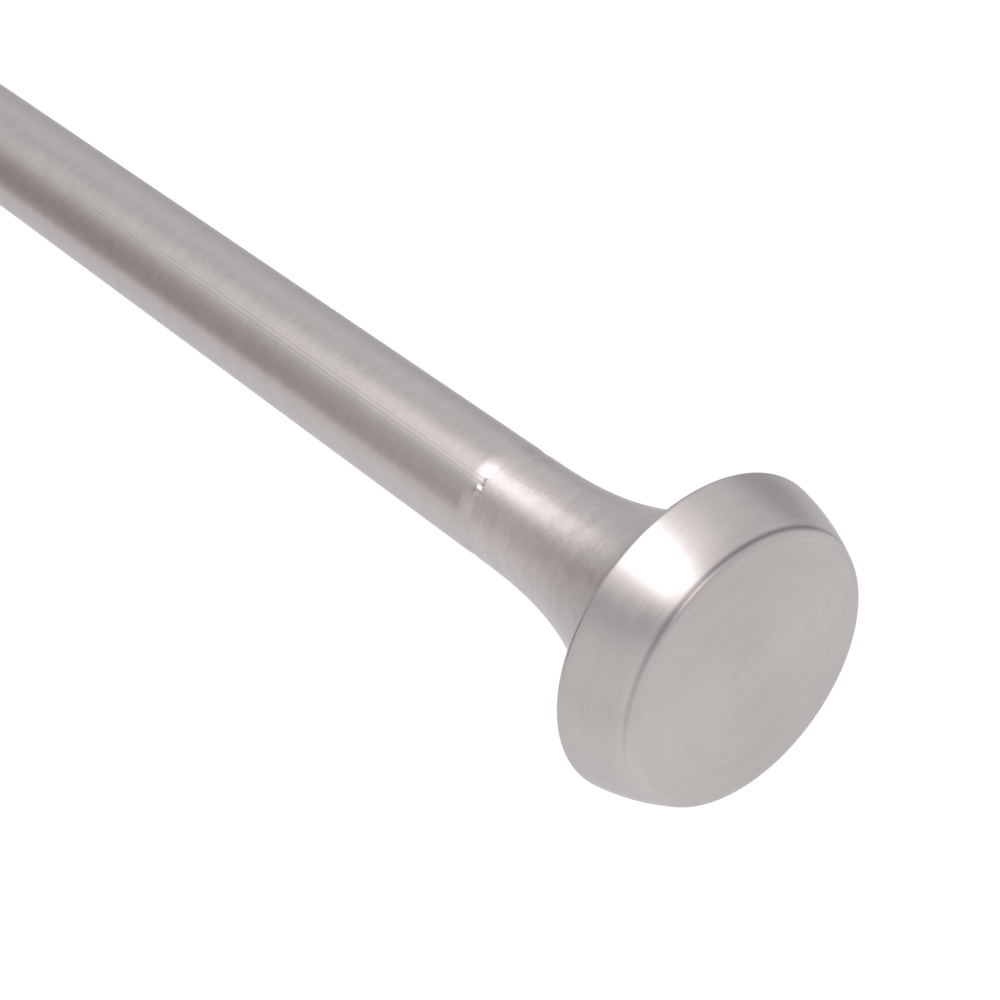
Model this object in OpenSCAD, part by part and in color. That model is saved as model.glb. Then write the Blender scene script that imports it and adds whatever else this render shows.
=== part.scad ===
// Adjustable shower curtain rod with two telescoping tubes, flared wall ends
// and a twist mechanism inside. It lies along X, with the near wall face at the origin.

/* [Rod] */
// Distance between the two wall faces with the rod pushed together
closed_l = 610; // [560:1:800]
// Distance from a wall face to the seam between flare neck and tube
end_l = 68.6; // [60:0.1:85]
// Length of inner tube that shows when the rod is pushed together
shown_l = 30; // [10:1:60]
// Gap of the seam between flare neck and tube
seam_gap = 0.2; // [0.1:0.05:0.5]

/* [Outer tube] */
// Outer diameter of the outer tube
tube_d = 25.4; // [22:0.1:32]
// Wall of the outer tube
tube_wall = 0.9; // [0.6:0.1:1.5]
// Depth that the tube's end is rolled in at the seam
roll_in = 0.2; // [0:0.05:0.4]
// Length of the rolled end
roll_l = 4; // [1:0.5:8]

/* [Inner tube] */
// Radial gap between the two tubes
tube_gap = 0.7; // [0.5:0.05:1.2]
// Wall of the inner tube
inner_wall = 0.8; // [0.6:0.1:1.2]

/* [Wall flange] */
// Largest diameter of the wall flange, at its back edge
flange_d = 68.8; // [60:0.1:84]
// Height of the wall flange from its face to the back of its rolled lip
flange_h = 16.3; // [13:0.1:22]
// Sheet thickness of the wall flange
flange_sheet = 0.9; // [0.6:0.1:1.4]
// Mean taper of the rim
rim_taper = 19.5; // [8:0.5:28]
// Angle through which the rim's side bows out
rim_bow = 18; // [4:1:24]
// Inside radius between face and rim
corner_in_r = 1.8; // [1.5:0.1:3.5]
// Inside radius of the rolled back edge
back_in_r = 0.3; // [0.2:0.1:0.8]
// Straight width of the lip that is rolled over the neck's flange
lip_w = 3.5; // [2:0.1:5]

/* [Flare neck] */
// Sheet thickness of the flare neck
neck_sheet = 1; // [0.7:0.1:1.4]
// How much smaller the neck's mouth is than the tube, in radius
mouth_step = 0.05; // [0:0.05:0.3]
// Slope of the trumpet's skin to the rod where it starts to roll out
flare_end_slope = 36; // [28:1:48]
// Outside radius of the roll between trumpet and flange
neck_roll_r = 3.4; // [2:0.1:5]

/* [End core] */
// Wall of the core's skirt and thickness of its base
core_wall = 2; // [1.5:0.1:3]
// Diameter of the core's hub
hub_d = 19; // [17:0.5:21]
// Height of the hub's top above the wall face
hub_h = 34; // [28:0.5:38]
// Number of ribs in the core
core_ribs = 8; // [4:1:12]
// Thickness of a rib
rib_w = 1.8; // [1.2:0.1:2.4]

/* [Pivot screw] */
// Diameter of the pivot screw's bearing shoulder
pivot_d = 8; // [6:0.5:9]
// Diameter of the pivot screw's thread
pivot_thread_d = 6; // [4:0.5:6]
// Diameter of the pivot screw's head
pivot_head_d = 12.5; // [11:0.5:14]
// Height of the pivot screw's head
pivot_head_h = 4; // [3:0.5:6]
// Height of the bearing seat above the wall face
pivot_seat_h = 8; // [7:0.5:12]
// Thickness of the thrust washer
washer_t = 1.2; // [0.8:0.1:2]

/* [Tube plug] */
// Length of the plug inside its tube
plug_l = 32; // [20:1:45]
// Length of the plug's bearing land inside the neck's mouth
land_l = 12; // [6:0.5:16]
// Number of ribs on the plug
plug_ribs = 6; // [3:1:10]
// Height of the plug's ribs
plug_rib_h = 2; // [1:0.1:3]
// Width of the solid band at each end of the plug's ribs
plug_band = 2; // [1:0.5:4]

/* [Guide bush] */
// Length of the guide bush inside the outer tube
bush_l = 14; // [8:1:24]
// Thickness of the bush's lip
bush_lip = 2.5; // [1.5:0.1:4]
// How far the bush's lip stands proud of the outer tube
bush_proud = 0.4; // [0.2:0.1:1]

/* [Twist mechanism] */
// How far the screw can push the rod apart
tension_l = 24; // [10:1:40]
// Diameter of the tension screw
screw_d = 8; // [6:0.5:10]
// Length of the screw nut inside the inner tube
nut_l = 24; // [14:1:35]
// Thickness of the nut's glide flange
nut_flange_t = 4; // [2:0.5:6]
// Length of the lock ring
ring_l = 16; // [10:1:24]
// Diameter of the eccentric that carries the lock ring
cam_d = 15; // [13:0.5:16.5]
// Offset of the eccentric from the rod's axis
cam_offset = 1.2; // [0.6:0.1:1.6]
// Thickness of the cam's own flange
cam_flange_t = 3; // [2:0.5:5]
// Thickness of the washer that keeps the lock ring on
cam_washer_t = 1.5; // [1:0.1:3]
// Width of the slit in the lock ring
slit_w = 3; // [1.5:0.5:5]
// Number of grip grooves round the lock ring
grip_grooves = 16; // [8:2:24]

/* [Clearances] */
// Radial clearance of a turning or sliding fit
run_gap = 0.08; // [0.04:0.01:0.1]
// Radial clearance of a pressed or screwed fit
press_gap = 0.02; // [0.01:0.01:0.03]
// Clearance between stacked or nested pieces that don't bear on each other
free_gap = 0.3; // [0.2:0.05:0.5]
// Radial clearance of the open lock ring in the outer tube
ring_gap = 0.35; // [0.25:0.05:0.5]

/* [Hidden] */
$fn = 96;
arc_n = 8;
flare_n = 28;
nickel = "#b8b1ac";
plastic = "#e4e2dc";
grey_plastic = "#8d8c8b";
zinc = "#a9adb0";

tube_r = tube_d / 2;
bore_r = tube_r - tube_wall;
inner_r = bore_r - tube_gap;
inner_bore_r = inner_r - inner_wall;

// The wall flange's outline is three tangent arcs, each with the heading at its end
corner_r = corner_in_r + flange_sheet;
back_r = back_in_r + flange_sheet;
steep = rim_taper + rim_bow / 2;
upright = rim_taper - rim_bow / 2;
rim_chord = (flange_h - corner_r * (1 - sin(steep)) - back_r * (1 + sin(upright))) / cos(rim_taper);
rim_r = rim_chord / (2 * sin(rim_bow / 2));
face_r = flange_d / 2 - corner_r * cos(steep) - rim_chord * sin(rim_taper) - back_r * (1 - cos(upright));
corner_c = [face_r, corner_r];
rim_c = corner_c + (corner_r - rim_r) * facing(90 - steep);
back_c = rim_c + (rim_r - back_r) * facing(90 - upright);
lip_in_r = back_c[0] - lip_w;

// Levels above the wall face
lip_in_h = flange_h - flange_sheet;
core_top_h = lip_in_h - neck_sheet;
neck_flange_r = min(rim_radius(core_top_h, flange_sheet), back_c[0]) - free_gap;
flare_end_r = lip_in_r - free_gap - neck_roll_r * cos(flare_end_slope);
flare_l = end_l - seam_gap - lip_in_h - neck_roll_r * (1 - sin(flare_end_slope));
washer_h = hub_h + run_gap;
plug_h = washer_h + washer_t + run_gap;
land_h = end_l - land_l;
head_h = pivot_seat_h - run_gap - pivot_head_h;

// Places along the rod
far_seam_x = closed_l - end_l;
outer_end_x = far_seam_x - shown_l - bush_lip;
cam_head_h = 3;
cam_head_x = end_l + plug_l + 3;
cam_washer_x = cam_head_x + cam_head_h;
ring_x = cam_washer_x + cam_washer_t;
cam_flange_x = ring_x + ring_l;
nut_flange_x = cam_flange_x + cam_flange_t + 2 * free_gap;
nut_x = nut_flange_x + nut_flange_t;
stop_x = nut_x + nut_l + tension_l + free_gap;
stop_t = 1.2;
screw_r = screw_d / 2;
stop_groove_r = screw_r - 0.8;
screw_tail_l = 2.5;
shank_w = screw_d * 0.7;
cam_screw_r = 1.6;
cam_screw_l = 14;
ring_r = bore_r - ring_gap;
cam_r = cam_d / 2;
cam_flange_r = cam_r + cam_offset + 1;

// Unit vector to the right of a heading, in radius and height
function facing(heading) = [sin(heading), -cos(heading)];

// Points of an arc round a centre, between two headings
function arc(centre, r, from, to) =
    [for (i = [0 : arc_n]) centre + r * facing(from + (to - from) * i / arc_n)];

// Radius of the rim's side at a height, taken in from its outer skin by an offset
function rim_radius(h, inset) = rim_c[0] + sqrt(pow(rim_r - inset, 2) - pow(h - rim_c[1], 2));

// The wall flange's skin from its flat face to its lip, taken in by an offset
function flange_skin(inset) = concat(
    arc(corner_c, corner_r - inset, 0, 90 - steep),
    arc(rim_c, rim_r - inset, 90 - steep, 90 - upright),
    arc(back_c, back_r - inset, 90 - upright, 180)
);

// Power of the trumpet's curve, which gives it its slope at the end
function flare_power(mouth_r) = tan(flare_end_slope) * flare_l / (flare_end_r - mouth_r);

// Radius of the trumpet at a share of its length from the neck's mouth
function flare_radius(mouth_r, s) =
    mouth_r + (flare_end_r - mouth_r) * pow(s, flare_power(mouth_r));

// Slope of the trumpet's skin at the same place
function flare_slope(mouth_r, s) =
    atan(tan(flare_end_slope) * pow(s, flare_power(mouth_r) - 1));

// The trumpet's skin from its mouth to the end of its roll, taken in by an offset
function neck_skin(mouth_r, inset) =
    let (
        mouth_h = end_l - seam_gap,
        roll_c = [flare_end_r, mouth_h - flare_l]
            + neck_roll_r * [cos(flare_end_slope), sin(flare_end_slope)]
    )
    concat(
        [for (i = [0 : flare_n])
            let (s = i / flare_n, slope = flare_slope(mouth_r, s))
            [flare_radius(mouth_r, s), mouth_h - flare_l * s] - inset * [cos(slope), sin(slope)]],
        [for (i = [1 : arc_n])
            let (slope = flare_end_slope + (90 - flare_end_slope) * i / arc_n)
            roll_c - (neck_roll_r + inset) * [cos(slope), sin(slope)]]
    );

function reversed(list) = [for (i = [len(list) - 1 : -1 : 0]) list[i]];

// Turns a shape that stands on the wall plane, with Z away from the wall, to lie along X
module along_x() {
    rotate([0, 90, 0]) children();
}

module ring(r_out, r_in, h) {
    difference() {
        cylinder(r = r_out, h = h);
        translate([0, 0, -1]) cylinder(r = r_in, h = h + 2);
    }
}

module at_far_end() {
    translate([closed_l, 0, 0]) mirror([1, 0, 0]) children();
}

// Drawn cup whose flat face bears on the wall and whose edge is rolled over the neck
module wall_flange() {
    outer = flange_skin(0);
    inner = flange_skin(flange_sheet);
    color(nickel) along_x() rotate_extrude() polygon(concat(
        [[0, 0]], outer, [[lip_in_r, flange_h], [lip_in_r, lip_in_h]],
        reversed(inner), [[0, flange_sheet]]
    ));
}

// Spun trumpet that runs from the tube out to a flange under the cup's lip
module flare_neck(over_r) {
    mouth_r = over_r - mouth_step;
    color(nickel) along_x() rotate_extrude() polygon(concat(
        neck_skin(mouth_r, 0), [[neck_flange_r, lip_in_h], [neck_flange_r, core_top_h]],
        reversed(neck_skin(mouth_r, neck_sheet))
    ));
}

// Room inside the cup and the trumpet, kept clear of both
module inside_room(over_r) {
    inset = neck_sheet + free_gap;
    trumpet = [for (p = neck_skin(over_r - mouth_step, inset)) if (p[1] > core_top_h) p];
    rotate_extrude() polygon(concat(
        [[0, flange_sheet]], core_side(), [[neck_flange_r - free_gap, core_top_h]],
        [[flare_end_r, core_top_h]], reversed([for (p = trumpet) if (p[1] < hub_h) p]),
        [[hub_d / 2, hub_h], [0, hub_h]]
    ));
}

// The skirt's outer side, from the cup's face up to the neck's flange
function core_side() = let (inset = flange_sheet + free_gap) concat(
    [[face_r, flange_sheet]],
    [for (i = [1 : arc_n])
        let (h = corner_r + (core_top_h - corner_r) * i / arc_n)
        [min(rim_radius(h, inset), neck_flange_r - free_gap), h]]
);

// Moulded core that carries the tube's load to the cup's face
module end_core(over_r) {
    side = core_side();
    top_r = side[len(side) - 1][0];
    bearing_r = pivot_d / 2 + run_gap;
    recess_r = pivot_head_d / 2 + free_gap;
    color(plastic) along_x() difference() {
        union() {
            rotate_extrude() polygon(concat(
                [[0, flange_sheet]], side, [[top_r - core_wall, core_top_h],
                [face_r - core_wall, flange_sheet + core_wall], [0, flange_sheet + core_wall]]
            ));
            translate([0, 0, flange_sheet]) cylinder(d = hub_d, h = hub_h - flange_sheet);
            intersection() {
                inside_room(over_r);
                for (i = [0 : core_ribs - 1]) rotate(360 * i / core_ribs)
                    translate([0, -rib_w / 2, flange_sheet]) cube([flange_d / 2, rib_w, hub_h]);
            }
        }
        translate([0, 0, -1]) cylinder(r = bearing_r, h = hub_h + 2);
        translate([0, 0, -1]) cylinder(r = recess_r, h = pivot_seat_h + 1);
    }
}

module thrust_washer() {
    color(zinc) along_x() translate([0, 0, washer_h])
        ring(hub_d / 2 - free_gap, pivot_d / 2 + run_gap, washer_t);
}

// Shoulder screw that holds the end to its tube and lets it turn
module pivot_screw() {
    shoulder_top = plug_h - run_gap;
    color(zinc) along_x() difference() {
        union() {
            translate([0, 0, head_h]) cylinder(d = pivot_head_d, h = pivot_head_h);
            translate([0, 0, head_h]) cylinder(d = pivot_d, h = shoulder_top - head_h);
            translate([0, 0, head_h]) cylinder(d = pivot_thread_d, h = end_l - head_h);
        }
        translate([0, 0, head_h - 1]) cylinder(r = pivot_thread_d / 3, h = pivot_head_h * 0.6 + 1, $fn = 6);
    }
}

// Moulded plug, pressed into the tube and turning in the neck's mouth
module tube_plug(over_r, wall) {
    seat_r = over_r - wall - press_gap;
    land_r = over_r - mouth_step - neck_sheet - run_gap;
    waist_r = min(land_r - 1, hub_d / 2);
    color(grey_plastic) along_x() difference() {
        union() {
            translate([0, 0, plug_h]) cylinder(r = waist_r, h = land_h - plug_h + 1);
            translate([0, 0, land_h]) cylinder(r = land_r, h = land_l + 1);
            translate([0, 0, end_l]) cylinder(r = seat_r, h = plug_l);
        }
        translate([0, 0, plug_h - 1]) cylinder(r = pivot_thread_d / 2 + press_gap, h = end_l - plug_h + 3);
        plug_pockets(over_r, seat_r - plug_rib_h);
    }
}

// Pockets between the plug's ribs, which leave a solid band at both ends
module plug_pockets(over_r, floor_r) {
    difference() {
        translate([0, 0, end_l + plug_band]) ring(over_r, floor_r, plug_l - 2 * plug_band);
        for (i = [0 : plug_ribs - 1]) rotate(360 * i / plug_ribs)
            translate([0, -rib_w / 2, end_l]) cube([tube_d, rib_w, plug_l]);
    }
}

// Side of a tube's end at the seam, rolled in along a shallow arc
function rolled_end(r) = [for (i = [0 : arc_n])
    let (s = i / arc_n) [r - roll_in * pow(1 - s, 2), roll_l * s]];

module outer_tube() {
    color(nickel) translate([end_l, 0, 0]) along_x() rotate_extrude() polygon(concat(
        rolled_end(tube_r), [[tube_r, outer_end_x - end_l], [bore_r, outer_end_x - end_l], [bore_r, 0]]
    ));
}

// Lipped sleeve in the outer tube's mouth, on which the inner tube slides
module guide_bush() {
    slide_r = inner_r + run_gap;
    lip_r = tube_r + bush_proud;
    round_r = min(bush_lip / 3, (lip_r - slide_r) / 3);
    color(grey_plastic) translate([outer_end_x - bush_l, 0, 0]) along_x() rotate_extrude() polygon(concat(
        [[slide_r, 0], [bore_r - press_gap, 0], [bore_r - press_gap, bush_l], [lip_r, bush_l]],
        arc([lip_r - round_r, bush_l + bush_lip - round_r], round_r, 90, 180),
        arc([slide_r + round_r, bush_l + bush_lip - round_r], round_r, 180, 270)
    ));
}

module inner_tube() {
    color(nickel) translate([nut_x, 0, 0]) along_x() rotate_extrude() polygon(concat(
        [[inner_bore_r, far_seam_x - nut_x], [inner_bore_r, 0]], [[inner_r, 0]],
        reversed([for (p = rolled_end(inner_r)) [p[0], far_seam_x - nut_x - p[1]]])
    ));
}

// Nut pressed into the inner tube's end, with a flange that glides in the outer tube
module screw_nut() {
    color(plastic) translate([nut_flange_x, 0, 0]) along_x() difference() {
        union() {
            cylinder(r = bore_r - run_gap - press_gap, h = nut_flange_t);
            cylinder(r = inner_bore_r - press_gap, h = nut_flange_t + nut_l);
        }
        translate([0, 0, -1]) cylinder(r = screw_r + run_gap, h = nut_flange_t + nut_l + 2);
        for (i = [0 : 5]) rotate(60 * i + 30)
            translate([inner_bore_r, 0, nut_flange_t + 2]) cylinder(r = 2, h = nut_l);
    }
}

// Screw with a square shank for the cam and a groove for the stop ring
module tension_screw() {
    thread_x = cam_flange_x + cam_flange_t;
    end_x = stop_x + stop_t + screw_tail_l;
    shank_x = ring_x + free_gap;
    color(zinc) difference() {
        union() {
            translate([thread_x, 0, 0]) along_x() cylinder(r = screw_r, h = end_x - thread_x);
            translate([shank_x, -shank_w / 2, -shank_w / 2]) cube([thread_x - shank_x + 1, shank_w, shank_w]);
        }
        translate([stop_x, 0, 0]) along_x() ring(screw_r + 1, stop_groove_r, stop_t);
        translate([shank_x - 1, 0, 0]) along_x() cylinder(r = cam_screw_r + press_gap, h = cam_screw_l + 1);
    }
}

// Open ring in the screw's groove, which stops the nut at the end of its travel
module stop_ring() {
    color(zinc) translate([stop_x, 0, 0]) difference() {
        along_x() ring(screw_r + 2.2, stop_groove_r + press_gap, stop_t);
        translate([-1, -stop_groove_r * 0.8, 0]) cube([stop_t + 2, stop_groove_r * 1.6, screw_r + 4]);
    }
}

// Eccentric with its own flange, driven by the screw's square shank
module lock_cam() {
    hole_w = shank_w + 2 * press_gap;
    color(plastic) difference() {
        union() {
            translate([ring_x, 0, cam_offset]) along_x() cylinder(r = cam_r, h = ring_l + 1);
            translate([cam_flange_x, 0, 0]) along_x() cylinder(r = cam_flange_r, h = cam_flange_t);
        }
        translate([ring_x - 1, -hole_w / 2, -hole_w / 2]) cube([ring_l + cam_flange_t + 2, hole_w, hole_w]);
    }
}

// Slit ring that the eccentric wedges against the outer tube
module lock_ring() {
    groove_r = 0.9;
    inside_l = ring_l - 2 * run_gap;
    color(grey_plastic) translate([ring_x + run_gap, 0, 0]) difference() {
        along_x() cylinder(r = ring_r, h = inside_l);
        translate([-1, 0, cam_offset]) along_x() cylinder(r = cam_r + run_gap, h = ring_l + 2);
        translate([-1, -slit_w / 2, 0]) cube([ring_l + 2, slit_w, tube_r]);
        for (i = [1 : grip_grooves - 1]) rotate([360 * i / grip_grooves, 0, 0])
            translate([-1, 0, ring_r + groove_r * 0.6]) along_x() cylinder(r = groove_r, h = ring_l + 2);
    }
}

module cam_washer() {
    color(zinc) translate([cam_washer_x, 0, 0]) along_x()
        ring(cam_flange_r, cam_screw_r + run_gap, cam_washer_t);
}

module cam_screw() {
    color(zinc) translate([cam_head_x, 0, 0]) along_x() difference() {
        union() {
            cylinder(r = cam_screw_r * 2, h = cam_head_h);
            cylinder(r = cam_screw_r, h = cam_head_h + cam_washer_t + cam_screw_l - 2);
        }
        translate([-cam_screw_r * 2, -0.5, -1]) cube([cam_screw_r * 4, 1, cam_head_h / 2 + 1]);
    }
}

wall_flange();  // near_wall_flange
flare_neck(tube_r);  // near_flare_neck
end_core(tube_r);  // near_end_core
thrust_washer();  // near_thrust_washer
pivot_screw();  // near_pivot_screw
tube_plug(tube_r, tube_wall);  // near_tube_plug
outer_tube();
guide_bush();
inner_tube();
screw_nut();
tension_screw();
stop_ring();
lock_cam();
lock_ring();
cam_washer();
cam_screw();
at_far_end() wall_flange();  // far_wall_flange
at_far_end() flare_neck(inner_r);  // far_flare_neck
at_far_end() end_core(inner_r);  // far_end_core
at_far_end() thrust_washer();  // far_thrust_washer
at_far_end() pivot_screw();  // far_pivot_screw
at_far_end() tube_plug(inner_r, inner_wall);  // far_tube_plug
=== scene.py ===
"""Looks of an adjustable shower curtain rod in brushed nickel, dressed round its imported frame.

The rod lies along X with its near wall face at the origin. Sizes are metres, names that end in
_MM are millimetres, and angles are degrees. Places that the frame gives are read from it.
"""
import math

import bpy
import numpy as np
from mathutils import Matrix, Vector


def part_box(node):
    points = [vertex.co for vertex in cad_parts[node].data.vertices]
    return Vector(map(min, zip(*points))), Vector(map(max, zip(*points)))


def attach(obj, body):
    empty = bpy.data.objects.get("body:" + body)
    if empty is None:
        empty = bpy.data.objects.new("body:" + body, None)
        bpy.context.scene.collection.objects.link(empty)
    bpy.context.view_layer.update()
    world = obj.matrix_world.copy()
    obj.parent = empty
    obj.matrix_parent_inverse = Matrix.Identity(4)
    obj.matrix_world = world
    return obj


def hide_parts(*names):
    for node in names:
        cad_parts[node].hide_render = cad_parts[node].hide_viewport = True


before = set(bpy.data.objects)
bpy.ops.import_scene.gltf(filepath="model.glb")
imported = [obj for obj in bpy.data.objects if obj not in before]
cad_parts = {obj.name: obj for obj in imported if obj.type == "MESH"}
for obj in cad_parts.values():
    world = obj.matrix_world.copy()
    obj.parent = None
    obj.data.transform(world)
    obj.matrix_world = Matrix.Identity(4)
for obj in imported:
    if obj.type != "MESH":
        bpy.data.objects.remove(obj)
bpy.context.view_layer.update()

MM = 0.001
SAME_POINT = 1e-7

# Places and outer sizes that the frame gives
SEAM_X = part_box("outer_tube")[0].x
OUTER_END_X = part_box("outer_tube")[1].x
TUBE_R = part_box("outer_tube")[1].z
INNER_X, FAR_SEAM_X = (corner.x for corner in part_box("inner_tube"))
INNER_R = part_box("inner_tube")[1].z
FLANGE_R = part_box("near_wall_flange")[1].z
FLANGE_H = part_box("near_wall_flange")[1].x
NECK_FOOT_X, NECK_MOUTH_X = (corner.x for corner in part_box("near_flare_neck"))
NECK_FLANGE_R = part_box("near_flare_neck")[1].z
CLOSED_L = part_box("far_wall_flange")[1].x

# Sheet size and outline of the wall flange
FLANGE_SHEET = 0.9 * MM
RIM_TAPER = 19.5
RIM_BOW = 18
CORNER_R = 1.8 * MM + FLANGE_SHEET
BACK_R = 0.3 * MM + FLANGE_SHEET
LIP_W = 3.5 * MM
LIP_IN_R = FLANGE_R - BACK_R - LIP_W

# Sheet size and outline of the flare neck
NECK_SHEET = 1 * MM
MOUTH_STEP = 0.05 * MM
FLARE_END_SLOPE = 36
NECK_ROLL_R = 3.4 * MM
FREE_GAP = 0.3 * MM

# Walls and ends of the tubes
TUBE_WALL = 0.9 * MM
INNER_WALL = 0.8 * MM
ROLL_IN = 0.40 * MM
ROLL_L = 4.06 * MM
ROLL_POWER = 1.55
RING_STEP = 5 * MM
EDGE_R = 0.12 * MM

# Camera
VIEW_HEADING = -39.48
VIEW_DROP = 35.685
VIEW_DISTANCE = 498.05 * MM
SEAM_RIGHT = 3.18 * MM
SEAM_BELOW = 1.63 * MM
LENS_MM = 88.12
SENSOR_MM = 36
NEAREST = 10 * MM

# Studio. A card is a round patch of the surroundings that fades at its edge: heading, lift, angle
# up to which it is full, angle at which it is gone, and by how much it dims or lifts. The warm one
# dims and tints.
LEVEL = 1.02
LEVEL_DROP = 0.126
LEVEL_FROM, LEVEL_TO = -0.425, 0.9
WARM_CARD = (33.3, -1.9, 1, 29.3, 0.57)
WARM = (1.0, 0.93, 0.925, 1.0)
DARK_CARDS = (
    (-71.7, 13.7, 2.9, 23.5, 0.37),
    (-30, -16.5, 15.5, 45.2, 0.24),
    (64.2, 70, 19.4, 61.2, 0.6),
)
BRIGHT_CARDS = (
    (63.3, 73.9, 12.5, 46.9, 0.84),
    (37.2, 49.9, 5.2, 27.7, 0.48),
    (-35.8, 75.5, 18.1, 36.7, 0.3),
)
DIFFUSE_LEVEL = 0.55
LAMP_HEADING, LAMP_LIFT, LAMP_REACH = 81.3, 70.6, 1.2
LAMP_W, LAMP_H = 1.104, 0.568
LAMP_LEVEL = 2.49
FLOOR_DROP = 0.35
FLOOR_HALF = 0.9
FLOOR_TINT = (0.8, 0.8, 0.8, 1.0)
FLOOR_GLOW = 1.2
FLOOR_SHARE = 0.75
POOL_X, POOL_Y = 0.12, 0.03
POOL_LEVEL = 1.127
POOL_DROP = 0.178
POOL_FROM, POOL_TO = 0.05, 0.935


def direction(heading, lift):
    """Unit vector at a heading round Z and a lift above the horizon, both in degrees."""
    turn, rise = math.radians(heading), math.radians(lift)
    return np.array([math.cos(rise) * math.cos(turn), math.cos(rise) * math.sin(turn), math.sin(rise)])


def make_camera():
    """The photograph's camera: it looks along VIEW_HEADING, VIEW_DROP below the horizon."""
    heading = math.radians(VIEW_HEADING)
    drop = math.radians(VIEW_DROP)
    ahead = direction(VIEW_HEADING, -VIEW_DROP)
    right = np.array([math.sin(heading), -math.cos(heading), 0])
    up = np.cross(right, ahead)
    seam = np.array([SEAM_X, 0, 0])
    camera = bpy.data.objects.new("camera", bpy.data.cameras.new("camera"))
    camera.location = seam - SEAM_RIGHT * right + SEAM_BELOW * up - VIEW_DISTANCE * ahead
    camera.rotation_euler = (math.pi / 2 - drop, 0, heading - math.pi / 2)
    camera.data.lens = LENS_MM
    camera.data.sensor_width = SENSOR_MM
    camera.data.clip_start = NEAREST
    bpy.context.scene.collection.objects.link(camera)
    bpy.context.scene.camera = camera


def facing(heading):
    """Unit vectors to the right of a heading in degrees, in radius and height: (sin, -cos)."""
    turn = np.radians(heading)
    return np.stack([np.sin(turn), -np.cos(turn)], -1)


def arc(centre, radius, start, stop, count=9):
    """An arc of outline: centre + radius * facing(heading), and the facing vectors as normals.
    A negative radius turns the arc the other way round, with its normals still to the right."""
    heading = np.linspace(start, stop, count)
    return np.asarray(centre) + radius * facing(heading), facing(heading)


def spot(radius, height, heading):
    """One point of outline with its normal."""
    return np.array([[radius, height]]), facing(np.array([heading]))


def outline(*stretches):
    """Joins stretches of points and normals into one outline, leaving out repeated points."""
    points, normals = (np.concatenate(part) for part in zip(*stretches))
    new = np.linalg.norm(np.diff(points, axis=0, prepend=points[:1] + 1), axis=1) > SAME_POINT
    return points[new], normals[new]


def lathe(name, shape, at_far_end=False, steps=256, ring_shut=False):
    """Surface of revolution round X. An outline point (r, h) at turn t goes to (h, r cos t, r sin t),
    or to (CLOSED_L - h, ...) at the far end. An outline that starts or ends at r = 0 closes in one
    point, and ring_shut joins its last ring to its first."""
    points, normals = shape
    turn = np.arange(steps) * 2 * math.pi / steps
    round_y, round_z = np.cos(turn), np.sin(turn)
    radius, height = points[:, :1], points[:, 1:]
    lay = np.ones(steps)
    grid = np.stack([height * lay, radius * round_y, radius * round_z], -1)
    facings = np.stack([normals[:, 1:] * lay, normals[:, :1] * round_y, normals[:, :1] * round_z], -1)
    index = np.arange(grid.shape[0] * steps).reshape(-1, steps)
    pole = points[:, 0] < SAME_POINT
    index[pole] = index[pole, :1]
    rings = np.vstack([index, index[:1]]) if ring_shut else index
    low, high = rings[:-1], rings[1:]
    next_low, next_high = np.roll(low, -1, 1), np.roll(high, -1, 1)
    quads = np.stack([low, next_low, next_high, high], -1).reshape(-1, 4)
    if at_far_end:
        grid[..., 0] = CLOSED_L - grid[..., 0]
        facings[..., 0] *= -1
        quads = quads[:, ::-1]
    used, packed = np.unique(quads, return_inverse=True)
    packed = packed.reshape(-1, 4)
    corners = [list(dict.fromkeys(q)) for q in packed.tolist()]
    mesh = bpy.data.meshes.new(name)
    mesh.from_pydata(grid.reshape(-1, 3)[used].tolist(), [], corners)
    mesh.polygons.foreach_set("use_smooth", np.ones(len(corners), bool))
    mesh.normals_split_custom_set_from_vertices(facings.reshape(-1, 3)[used].tolist())
    mesh.update()
    piece = bpy.data.objects.new(name, mesh)
    bpy.context.scene.collection.objects.link(piece)
    return piece


def flange_outline():
    """Cup skin from the middle of its face over corner, bowed rim and back edge to its lip, and
    back along its inside. The skin is three tangent arcs."""
    steep = RIM_TAPER + RIM_BOW / 2
    upright = RIM_TAPER - RIM_BOW / 2
    rise = (FLANGE_H - CORNER_R * (1 - math.sin(math.radians(steep)))
            - BACK_R * (1 + math.sin(math.radians(upright))))
    chord = rise / math.cos(math.radians(RIM_TAPER))
    rim_r = chord / (2 * math.sin(math.radians(RIM_BOW / 2)))
    face_r = (FLANGE_R - CORNER_R * math.cos(math.radians(steep))
              - chord * math.sin(math.radians(RIM_TAPER))
              - BACK_R * (1 - math.cos(math.radians(upright))))
    corner = np.array([face_r, CORNER_R])
    rim = corner + (CORNER_R - rim_r) * facing(90 - steep)
    back = rim + (rim_r - BACK_R) * facing(90 - upright)

    def skin(inset):
        """The three arcs, taken in by an inset."""
        return outline(
            arc(corner, CORNER_R - inset, 0, 90 - steep, 17),
            arc(rim, rim_r - inset, 90 - steep, 90 - upright, 25),
            arc(back, BACK_R - inset, 90 - upright, 180, 13),
        )

    inner_points, inner_normals = skin(FLANGE_SHEET)
    face_rings = [spot(share * face_r, 0, 0) for share in (0.25, 0.5, 0.75)]
    return outline(
        spot(0, 0, 0),
        *face_rings,
        skin(0),
        arc([LIP_IN_R + EDGE_R, FLANGE_H - EDGE_R], EDGE_R, 180, 270, 4),
        arc([LIP_IN_R + EDGE_R, FLANGE_H - FLANGE_SHEET + EDGE_R], EDGE_R, 270, 360, 4),
        (inner_points[::-1], -inner_normals[::-1]),
        spot(0, FLANGE_SHEET, 180),
    )


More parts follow.
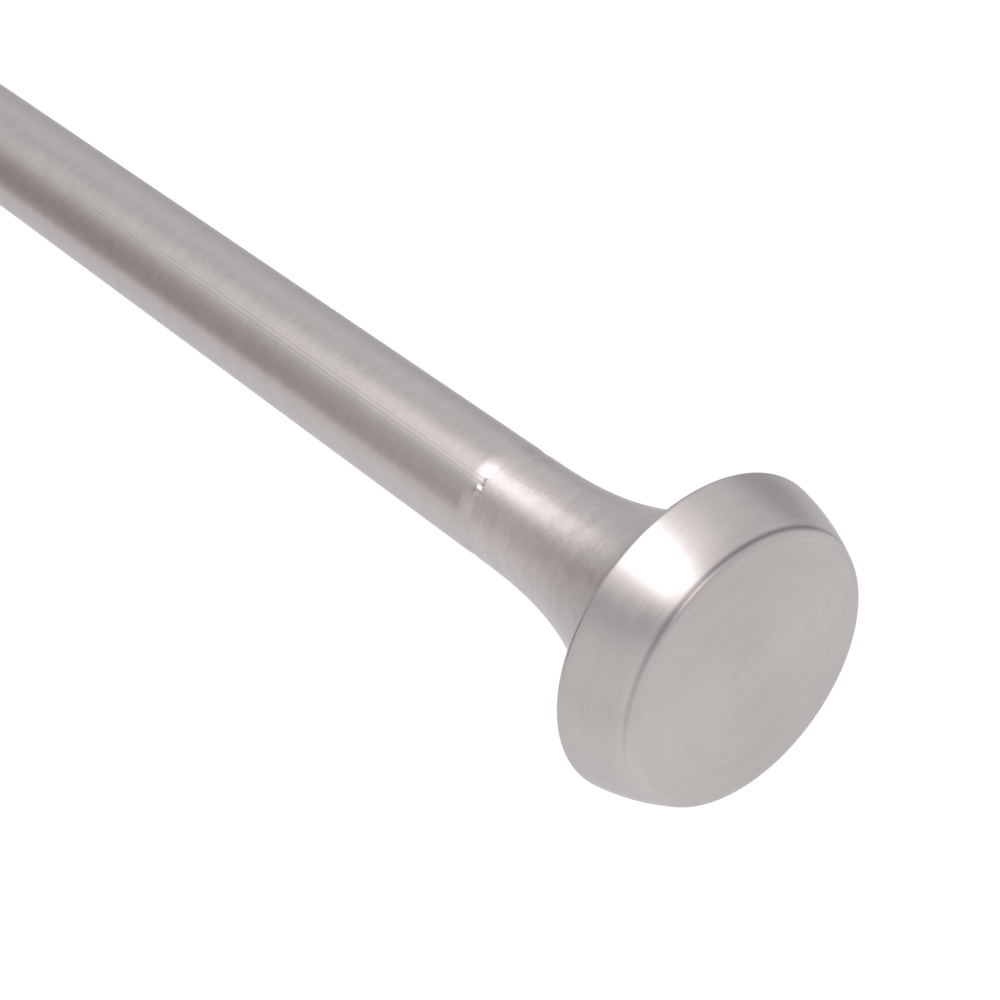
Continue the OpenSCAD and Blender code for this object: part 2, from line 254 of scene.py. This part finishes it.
def neck_outline(tube_r):
    """Trumpet whose radius grows from the mouth as a power of the share of its length, then a roll
    out to a flat flange, and back along its inside."""
    mouth_r = tube_r - MOUTH_STEP
    slope = math.radians(FLARE_END_SLOPE)
    lip_in_h = FLANGE_H - FLANGE_SHEET
    flare_end_r = LIP_IN_R - FREE_GAP - NECK_ROLL_R * math.cos(slope)
    flare_l = NECK_MOUTH_X - lip_in_h - NECK_ROLL_R * (1 - math.sin(slope))
    power = math.tan(slope) * flare_l / (flare_end_r - mouth_r)
    roll = (np.array([flare_end_r, NECK_MOUTH_X - flare_l])
            + NECK_ROLL_R * np.array([math.cos(slope), math.sin(slope)]))

    def skin(inset):
        """Trumpet and roll, taken in by an inset."""
        share = np.linspace(0, 1, 65)
        lean = np.degrees(np.arctan(math.tan(slope) * share ** (power - 1)))
        flare_r = mouth_r + (flare_end_r - mouth_r) * share ** power
        on_skin = np.stack([flare_r, NECK_MOUTH_X - flare_l * share], -1)
        out = np.stack([np.cos(np.radians(lean)), np.sin(np.radians(lean))], -1)
        return outline(
            (on_skin - inset * out, out),
            arc(roll, -(NECK_ROLL_R + inset), 90 + FLARE_END_SLOPE, 180, 13),
        )

    outer_points, outer_normals = skin(0)
    inner_points, inner_normals = skin(NECK_SHEET)
    foot_r = NECK_FLANGE_R - EDGE_R
    return outline(
        arc([mouth_r - EDGE_R, NECK_MOUTH_X - EDGE_R], EDGE_R, 90, 180, 4),
        arc([mouth_r - NECK_SHEET + EDGE_R, NECK_MOUTH_X - EDGE_R], EDGE_R, 180, 270, 4),
        (inner_points[1:], -inner_normals[1:]),
        arc([foot_r, NECK_FOOT_X + EDGE_R], EDGE_R, 360, 450, 4),
        arc([foot_r, NECK_FOOT_X + NECK_SHEET - EDGE_R], EDGE_R, 450, 540, 4),
        (outer_points[:0:-1], outer_normals[:0:-1]),
    )


def tube_outline(outer_r, wall, seam_h, end_h):
    """Tube wall from its seam to its other end. Next to the seam the radius is less by ROLL_IN times
    a power of the share of ROLL_L that is left."""
    left = np.linspace(1, 0, 33)[1:]
    slope = ROLL_POWER * ROLL_IN / ROLL_L * left ** (ROLL_POWER - 1)
    rolled = np.stack([outer_r - ROLL_IN * left ** ROLL_POWER, seam_h + ROLL_L * (1 - left)], -1)
    normals = np.stack([np.cos(np.arctan(slope)), -np.sin(np.arctan(slope))], -1)
    rings = max(2, int((end_h - seam_h) / RING_STEP))
    plain = np.linspace(seam_h + ROLL_L, end_h - EDGE_R, rings)[1:-1]
    lip_r = outer_r - ROLL_IN - EDGE_R
    bore_r = outer_r - wall + EDGE_R
    steepest = math.degrees(math.atan(ROLL_POWER * ROLL_IN / ROLL_L))
    return outline(
        arc([bore_r, seam_h + EDGE_R], EDGE_R, 270, 360, 4),
        arc([lip_r, seam_h + EDGE_R], EDGE_R, 360, 450 - steepest, 4),
        (rolled, normals),
        (np.stack([np.full(len(plain), outer_r), plain], -1), np.tile([1.0, 0.0], (len(plain), 1))),
        arc([outer_r - EDGE_R, end_h - EDGE_R], EDGE_R, 90, 180, 4),
        arc([bore_r, end_h - EDGE_R], EDGE_R, 180, 270, 4),
    )


class Signal:
    """An output of a material's node. Arithmetic on it adds Math nodes."""

    def __init__(self, finish, socket):
        self.finish = finish
        self.socket = socket

    def math(self, operation, *values):
        """One Math node on these values."""
        return self.finish.node("ShaderNodeMath", {"operation": operation}, dict(enumerate(values)))

    def __add__(self, other):
        return self.math("ADD", self, other)

    __radd__ = __add__

    def __sub__(self, other):
        return self.math("SUBTRACT", self, other)

    def __rsub__(self, other):
        return self.math("SUBTRACT", other, self)

    def __mul__(self, other):
        return self.math("MULTIPLY", self, other)

    __rmul__ = __mul__

    def __truediv__(self, other):
        return self.math("DIVIDE", self, other)

    def __rtruediv__(self, other):
        return self.math("DIVIDE", other, self)

    def __pow__(self, other):
        return self.math("POWER", self, other)

    def __rpow__(self, other):
        return self.math("POWER", other, self)

    def fade(self, low, high):
        """Smooth step from 0 at low to 1 at high; high may lie below low."""
        span = {"Value": self, "From Min": low, "From Max": high}
        return self.finish.node("ShaderNodeMapRange", {"interpolation_type": "SMOOTHSTEP"}, span)

    def hump(self, sharpness=1.0):
        """e to the power of minus sharpness times the square: 1 at 0, dying out on both sides."""
        return self.math("EXPONENT", (self * self) * -sharpness)


class Finish:
    """A node tree with one method that adds any node."""

    def __init__(self, owner):
        owner.use_nodes = True
        self.owner = owner
        self.tree = owner.node_tree
        self.tree.nodes.clear()

    def node(self, kind, settings=None, inputs=None, output=0):
        """Adds a node, sets its settings, then gives its sockets values or links, and returns one
        of its outputs."""
        made = self.tree.nodes.new(kind)
        for key, value in (settings or {}).items():
            setattr(made, key, value)
        for key, value in (inputs or {}).items():
            if isinstance(value, Signal):
                self.tree.links.new(value.socket, made.inputs[key])
            else:
                made.inputs[key].default_value = value
        return Signal(self, made.outputs[output]) if made.outputs else None

    def place(self):
        """X, Y and Z of Object coordinates."""
        whole = {0: self.node("ShaderNodeTexCoord", output="Object")}
        return [self.node("ShaderNodeSeparateXYZ", inputs=whole, output=axis) for axis in range(3)]

    def rays(self):
        """1 for camera rays, for glossy rays and for transmission rays."""
        kinds = ("Is Camera Ray", "Is Glossy Ray", "Is Transmission Ray")
        return [self.node("ShaderNodeLightPath", output=kind) for kind in kinds]

    def noise(self, x, y, z, detail=2.0):
        """Noise between about 0 and 1 at a point."""
        point = self.node("ShaderNodeCombineXYZ", inputs={0: x, 1: y, 2: z})
        size = {"Vector": point, "Scale": 1.0, "Detail": detail, "Roughness": 0.5}
        return self.node("ShaderNodeTexNoise", inputs=size)

    def mix_colour(self, share, first, second):
        """Mix of two colours by a share."""
        return self.node("ShaderNodeMix", {"data_type": "RGBA"}, {0: share, 6: first, 7: second}, 2)

    def bump(self, relief, strength=1.0, height=1.0):
        """Normal of a relief that is height metres high for each unit of it."""
        sizes = {"Strength": strength, "Distance": height, "Height": relief}
        return self.node("ShaderNodeBump", inputs=sizes)

    def surface(self, **inputs):
        """Principled shader on the material's output."""
        named = {key.replace("_", " "): value for key, value in inputs.items()}
        shader = self.node("ShaderNodeBsdfPrincipled", inputs=named)
        self.node("ShaderNodeOutputMaterial", inputs={"Surface": shader})


def colour(red, green, blue):
    """Linear colour with full alpha."""
    return (red, green, blue, 1.0)


BLACK = colour(0.0, 0.0, 0.0)
WHITE = colour(1.0, 1.0, 1.0)

# Brushed nickel. NOISE_SLOPE is the mean slope of plain noise, by which a relief's height is worked
# out from its slope. Cycles' denoiser takes its edges from the surface where roughness is above
# GUIDE_GLOSS, so tube and cup stay crisp. Below it the hairs of the necks come out smooth. A number
# added to the place of a noise only sets it apart from the other noises.
NICKEL = (0.500, 0.465, 0.461)
EDGE_TINT = colour(0.8, 0.8, 0.8)
NOISE_SLOPE = 0.34
GUIDE_GLOSS = 0.274
GUIDE_MARGIN = 0.002
AXIS_R = 0.2 * MM
STROKE = 0.33 * MM
STROKE_TURNS = 5
STROKE_SLOPE = 0.004
STROKE_DULL = 0.18
STROKE_SHARE = 0.65
STREAK_SPAN = (0.32, 0.68)
CLOUD_RATE = 300
CLOUD_TURNS = 0.9
HAIR = 0.04 * MM
HAIR_TURNS = 60
HAIR_GAIN = 1.25

# Draw lines and ragged end of the tube, whose burr is darkened by painted shade; turns are degrees
# from Y towards Z
DRAW_TURN = 52.6
DRAW_PITCH = 4.3
DRAW_SPREAD = 0.6
DRAW_DEPTH = 0.011 * MM
DRAW_FROM, DRAW_TO = 5 * MM, 60 * MM
DRAW_AT_SEAM = 0.5
BURR_DEPTH = 0.06 * MM
BURR_FROM, BURR_TO = 1.5 * MM, 0.6 * MM
BURR_LOW, BURR_HIGH = (43, 47), (58, 52)
BURR_PAINTED_SHADE = colour(0.10, 0.09, 0.09)
BURR_SHADE_SHARE = 0.6
BURR_RATE = 2600
BURR_TURNS, BURR_CROSS_TURNS = 0.35, 0.1
BURR_SPAN = (0.42, 0.56)
NICK_DEPTH = 0.16 * MM
NICK_FROM, NICK_TO = 1.9 * MM, 1.3 * MM
NICK_LOW, NICK_HIGH = (36, 41), (47, 42.5)

# Painted light on the cup: painted shade on its side, a painted reflection over its face and a painted
# dark line along its corner; FAN_FROM, FAN_TO and the shares are shares of the cup's radius
FAN_REFLECTION = 0.033
FAN_TURN = -12
FAN_FROM, FAN_TO = 0.1, 0.2
FACE_SHARE, SIDE_SHARE = 0.86, 0.92
SIDE_SHADE = 0.088
SHADE_LINE_X = 1.966 * MM
SHADE_LINE_W = 0.461 * MM
SHADE_LINE_DEPTH = 0.165
SHADE_LINE_TILT = 1.91
SHADE_LINE_MOST = 0.6


def draw_relief(finish, x, y, z):
    """Relief and share of burr on the tube. Its draw lines are a cosine over the turn that dies out
    from DRAW_TURN and is less deep at the seam. Where they meet the seam, the end is a rough burr,
    and next to that it is nicked."""
    turn = z.math("ARCTAN2", z, y) * (180 / math.pi)
    off = (turn - DRAW_TURN) / DRAW_PITCH
    lines = off.math("COSINE", off * (2 * math.pi)) * off.hump(DRAW_SPREAD)
    from_seam = x - SEAM_X
    depth = DRAW_AT_SEAM + (1 - DRAW_AT_SEAM) * from_seam.fade(DRAW_FROM, DRAW_TO)
    burr = from_seam.fade(BURR_FROM, BURR_TO) * turn.fade(*BURR_LOW) * turn.fade(*BURR_HIGH)
    grit = finish.noise(x * BURR_RATE, turn * BURR_TURNS, turn * BURR_CROSS_TURNS + 5, 3.0)
    rough = grit.fade(*BURR_SPAN) * burr
    nick = from_seam.fade(NICK_FROM, NICK_TO) * turn.fade(*NICK_HIGH) * turn.fade(*NICK_LOW)
    return nick * NICK_DEPTH - lines * depth * DRAW_DEPTH - rough * BURR_DEPTH, rough


def cup_painted_light(x, z, radius, turn_y, turn_z, face_x):
    """Share of black on the cup, all of it painted light: painted shade makes its side darker than its
    face, a painted reflection gives the face a fan of lighter and darker sectors, a cosine of twice
    the turn, and a painted dark line runs round the corner where side and face meet, deeper towards
    the top."""
    # Painted dark line of reflection along the corner, deeper towards the top
    off = (x.math("ABSOLUTE", x - face_x) - SHADE_LINE_X) / SHADE_LINE_W
    shade_line = off.hump() * (SHADE_LINE_DEPTH * (1 + SHADE_LINE_TILT * z / FLANGE_R)).fade(0.0, SHADE_LINE_MOST)
    # Painted reflection: lighter and darker sectors over the face
    aim = math.radians(2 * FAN_TURN)
    twice_cos = turn_y * turn_y - turn_z * turn_z
    twice_sin = turn_y * turn_z * 2
    fan = ((twice_cos * math.cos(aim) + twice_sin * math.sin(aim))
           * radius.fade(FAN_FROM * FLANGE_R, FAN_TO * FLANGE_R))
    # Painted shade: the side darker than the face
    on_face = radius.fade(SIDE_SHARE * FLANGE_R, FACE_SHARE * FLANGE_R)
    return shade_line * SHADE_LINE_MOST + (SIDE_SHADE - on_face * (SIDE_SHADE - FAN_REFLECTION) - on_face * fan * FAN_REFLECTION)


def nickel(name, across_of, gloss, tint, grain, hair_slope=0.0, tube=False, face_x=None,
           stroke_slope=STROKE_SLOPE):
    """Nickel plate brushed round the rod's axis. Its relief is noise that changes fast across the
    brush lines and slowly along the turn: strokes that show and, where they have a mean slope,
    hairs too fine to see. across_of gives the distance across the lines from x and radius, grain
    is how much darker the strokes go, and face_x is where a cup has its face."""
    finish = Finish(bpy.data.materials.new(name))
    x, y, z = finish.place()
    radius = (y * y + z * z) ** 0.5
    near_axis = radius.math("MAXIMUM", radius, AXIS_R)
    turn_y, turn_z = y / near_axis, z / near_axis
    across = across_of(x, radius)
    strokes = finish.noise(across * (1 / STROKE), turn_y * STROKE_TURNS + 7, turn_z * STROKE_TURNS)
    cloud = finish.noise(across * CLOUD_RATE, turn_y * CLOUD_TURNS, turn_z * CLOUD_TURNS + 3, 1.0)
    light = colour(*(tint * share for share in NICKEL))
    deep = colour(*(tint * (1 - grain) * share for share in NICKEL))
    streaks = strokes * STROKE_SHARE + cloud * (1 - STROKE_SHARE)
    tone = finish.mix_colour(streaks.fade(*STREAK_SPAN), deep, light)
    relief = strokes * (stroke_slope * STROKE / NOISE_SLOPE)
    dull = gloss + STROKE_DULL * (strokes - 0.5)
    if hair_slope:
        hairs = finish.noise(across * (1 / HAIR), turn_y * HAIR_TURNS, turn_z * HAIR_TURNS, 0.0)
        relief = relief + hairs * (HAIR_GAIN * hair_slope * HAIR / NOISE_SLOPE)
        dull = dull.math("MINIMUM", dull, GUIDE_GLOSS - GUIDE_MARGIN)
    else:
        dull = dull.math("MAXIMUM", dull, GUIDE_GLOSS + GUIDE_MARGIN)
    if tube:
        marks, rough = draw_relief(finish, x, y, z)
        relief = relief + marks
        # Painted shade: the burr's real relief also gets a near-black colour, standing in for shade in
        # its crevices
        tone = finish.mix_colour(rough * BURR_SHADE_SHARE, tone, BURR_PAINTED_SHADE)
    if face_x is not None:
        # On a cup, painted shade and painted reflection darken and lighten the colour
        shade = cup_painted_light(x, z, radius, turn_y, turn_z, face_x)
        tone = finish.mix_colour(shade, tone, BLACK)
    finish.surface(
        Base_Color=tone,
        Metallic=1.0,
        Roughness=dull,
        Specular_Tint=EDGE_TINT,
        Normal=finish.bump(relief),
    )
    return finish.owner


# Moulded plastic and zinc plate, with their noises' rates per metre
MOULD_RATE = 2600
MOULD_CLOUD_RATE = 90
MOULD_CLOUD_SPAN = (0.3, 0.7)
MOULD_DEEP = 0.94
MOULD_DULL = 0.1
MOULD_BUMP, MOULD_DEPTH = 0.5, 0.01 * MM
RING_RATE, RING_CROSS_RATE = 5200, 90
RING_BUMP, RING_DEPTH = 0.6, 0.004 * MM
MOTTLE_RATE = 500
MOTTLE_SPAN = (0.35, 0.65)
MOTTLE_DULL = 0.12
ZINC_GLOSS = 0.26
ZINC_DEEP = colour(0.50, 0.51, 0.50)
ZINC_LIGHT = colour(0.60, 0.61, 0.62)


def moulded(name, tint, roughness):
    """Moulded plastic with a fine, even mould texture."""
    finish = Finish(bpy.data.materials.new(name))
    x, y, z = finish.place()
    grain = finish.noise(*(axis * MOULD_RATE for axis in (x, y, z)))
    cloud = finish.noise(*(axis * MOULD_CLOUD_RATE for axis in (x, y, z)), 1.0)
    deep = colour(*(MOULD_DEEP * share for share in tint))
    finish.surface(
        Base_Color=finish.mix_colour(cloud.fade(*MOULD_CLOUD_SPAN), deep, colour(*tint)),
        Roughness=roughness + MOULD_DULL * (grain - 0.5),
        Normal=finish.bump(grain, MOULD_BUMP, MOULD_DEPTH),
    )
    return finish.owner


def zinc_plate(name):
    """Zinc-plated steel with turned rings and a slight mottle."""
    finish = Finish(bpy.data.materials.new(name))
    x, y, z = finish.place()
    rings = finish.noise(x * RING_RATE, y * RING_CROSS_RATE, z * RING_CROSS_RATE, 1.0)
    mottle = finish.noise(*(axis * MOTTLE_RATE for axis in (x, y, z)), 3.0)
    finish.surface(
        Base_Color=finish.mix_colour(mottle.fade(*MOTTLE_SPAN), ZINC_DEEP, ZINC_LIGHT),
        Metallic=1.0,
        Roughness=ZINC_GLOSS + MOTTLE_DULL * mottle,
        Normal=finish.bump(rings, RING_BUMP, RING_DEPTH),
    )
    return finish.owner


def make_surroundings():
    """World that the camera sees as white, that lights matt things evenly, and whose reflections
    are a level that falls a little with height, with darker and brighter cards on it."""
    world = bpy.data.worlds.new("studio")
    bpy.context.scene.world = world
    air = Finish(world)
    way = air.node("ShaderNodeTexCoord", output="Generated")
    height = air.node("ShaderNodeSeparateXYZ", inputs={0: way}, output=2)

    def card(heading, lift, inner, outer, strength):
        """The strength within inner degrees of a direction, and 0 beyond outer degrees."""
        aim = tuple(direction(heading, lift))
        pair = {0: way, 1: aim}
        share = air.node("ShaderNodeVectorMath", {"operation": "DOT_PRODUCT"}, pair, "Value")
        return strength * share.fade(math.cos(math.radians(outer)), math.cos(math.radians(inner)))

    mirrored = LEVEL - LEVEL_DROP * height.fade(LEVEL_FROM, LEVEL_TO)
    *warm_place, warm_strength = WARM_CARD
    warm = card(*warm_place, 1.0)
    mirrored = mirrored - warm_strength * warm
    for dark in DARK_CARDS:
        mirrored = mirrored - card(*dark)
    for bright in BRIGHT_CARDS:
        mirrored = mirrored + card(*bright)
    camera_ray, glossy_ray, clear_ray = air.rays()
    lit = DIFFUSE_LEVEL + glossy_ray * (mirrored - DIFFUSE_LEVEL)
    seen = camera_ray.math("MAXIMUM", camera_ray, clear_ray)
    strength = lit + seen * (1.0 - lit)
    tint = air.mix_colour((1.0 - seen) * warm, WHITE, WARM)
    shade = air.node("ShaderNodeBackground", inputs={"Color": tint, "Strength": strength})
    air.node("ShaderNodeOutputWorld", inputs={"Surface": shade})


def make_lamp():
    """Soft box above the near end, turned to face the seam."""
    lamp = bpy.data.lights.new("soft_box", "AREA")
    lamp.shape = "RECTANGLE"
    lamp.size, lamp.size_y = LAMP_W, LAMP_H
    lamp.energy = LAMP_LEVEL * math.pi * lamp.size * lamp.size_y
    box = bpy.data.objects.new("soft_box", lamp)
    box.location = np.array([SEAM_X, 0, 0]) + LAMP_REACH * direction(LAMP_HEADING, LAMP_LIFT)
    box.rotation_euler = (math.radians(90 - LAMP_LIFT), 0, math.radians(LAMP_HEADING + 90))
    box.visible_camera = False
    bpy.context.scene.collection.objects.link(box)


def make_floor():
    """Pale floor that keeps the rod's shadow. In reflections it glows, brightest in a pool round
    one point."""
    mesh = bpy.data.meshes.new("floor")
    corners = [(SEAM_X + a * FLOOR_HALF, b * FLOOR_HALF, -FLOOR_DROP)
               for a, b in ((-1, -1), (1, -1), (1, 1), (-1, 1))]
    mesh.from_pydata(corners, [], [(0, 1, 2, 3)])
    floor = bpy.data.objects.new("floor", mesh)
    bpy.context.scene.collection.objects.link(floor)
    paint = Finish(bpy.data.materials.new("pale_floor"))
    matt = paint.node("ShaderNodeBsdfDiffuse", inputs={"Color": FLOOR_TINT})
    camera_ray, glossy_ray, clear_ray = paint.rays()
    reflected = glossy_ray + clear_ray
    x, y, _ = paint.place()
    off_x, off_y = x - POOL_X, y - POOL_Y
    reach = (off_x * off_x + off_y * off_y) ** 0.5
    pool = POOL_LEVEL - POOL_DROP * reach.fade(POOL_FROM, POOL_TO)
    shine = FLOOR_GLOW * camera_ray + reflected * pool
    glow = paint.node("ShaderNodeEmission", inputs={"Strength": shine})
    share = FLOOR_SHARE * camera_ray + reflected
    both = paint.node("ShaderNodeMixShader", inputs={0: share, 1: matt, 2: glow})
    paint.node("ShaderNodeOutputMaterial", inputs={"Surface": both})
    mesh.materials.append(paint.owner)


def dress(piece, body, slot, material, *nodes):
    """Gives a new piece its material and body and hides the nodes that it stands for. slot is not
    used.
    """
    piece.data.materials.append(material)
    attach(piece, body)
    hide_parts(*nodes)


make_camera()
make_surroundings()
make_lamp()
make_floor()

# Painted light: the tints make one nickel lighter on the neck and the cup than on the tube, standing
# in for how brightly each piece is lit.
NECK = {"gloss": 0.255, "tint": 1.162, "grain": 0.10, "stroke_slope": 0.03, "hair_slope": 0.21}
CUP = {"gloss": 0.292, "tint": 1.099, "grain": 0.08}
side_nickel = nickel("nickel_tube", lambda x, r: x, gloss=0.285, tint=1.044, grain=0.08, tube=True)
neck_nickel = nickel("nickel_neck", lambda x, r: x - r, **NECK)
cup_nickel = nickel("nickel_cup", lambda x, r: x + r, face_x=0.0, **CUP)
far_neck_nickel = nickel("nickel_far_neck", lambda x, r: x + r, **NECK)
far_cup_nickel = nickel("nickel_far_cup", lambda x, r: x - r, face_x=CLOSED_L, **CUP)

near_tube = tube_outline(TUBE_R, TUBE_WALL, SEAM_X, OUTER_END_X)
far_tube = tube_outline(INNER_R, INNER_WALL, CLOSED_L - FAR_SEAM_X, CLOSED_L - INNER_X)
dress(lathe("wall_cup_near", flange_outline()),
      "near_end", "brushed_nickel", cup_nickel, "near_wall_flange")
dress(lathe("trumpet_near", neck_outline(TUBE_R), ring_shut=True),
      "near_end", "brushed_nickel", neck_nickel, "near_flare_neck")
dress(lathe("tube_outer", near_tube, ring_shut=True),
      "outer_tube_body", "brushed_nickel", side_nickel, "outer_tube")
dress(lathe("tube_inner", far_tube, at_far_end=True, ring_shut=True),
      "inner_tube_body", "brushed_nickel", side_nickel, "inner_tube")
dress(lathe("trumpet_far", neck_outline(INNER_R), at_far_end=True, ring_shut=True),
      "far_end", "brushed_nickel", far_neck_nickel, "far_flare_neck")
dress(lathe("wall_cup_far", flange_outline(), at_far_end=True),
      "far_end", "brushed_nickel", far_cup_nickel, "far_wall_flange")

white_nylon = moulded("white_nylon", (0.78, 0.77, 0.73), 0.45)
grey_acetal = moulded("grey_acetal", (0.27, 0.265, 0.26), 0.38)
zinc = zinc_plate("zinc_plate")
NODE_FINISH = {
    "near_end_core": white_nylon,
    "far_end_core": white_nylon,
    "screw_nut": white_nylon,
    "lock_cam": white_nylon,
    "near_tube_plug": grey_acetal,
    "far_tube_plug": grey_acetal,
    "lock_ring": grey_acetal,
    "guide_bush": grey_acetal,
    "near_thrust_washer": zinc,
    "far_thrust_washer": zinc,
    "near_pivot_screw": zinc,
    "far_pivot_screw": zinc,
    "tension_screw": zinc,
    "stop_ring": zinc,
    "cam_washer": zinc,
    "cam_screw": zinc,
}
for name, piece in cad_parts.items():
    piece.data.materials.clear()
    piece.data.materials.append(NODE_FINISH.get(name, side_nickel))

bpy.context.scene.view_settings.view_transform = "Standard"
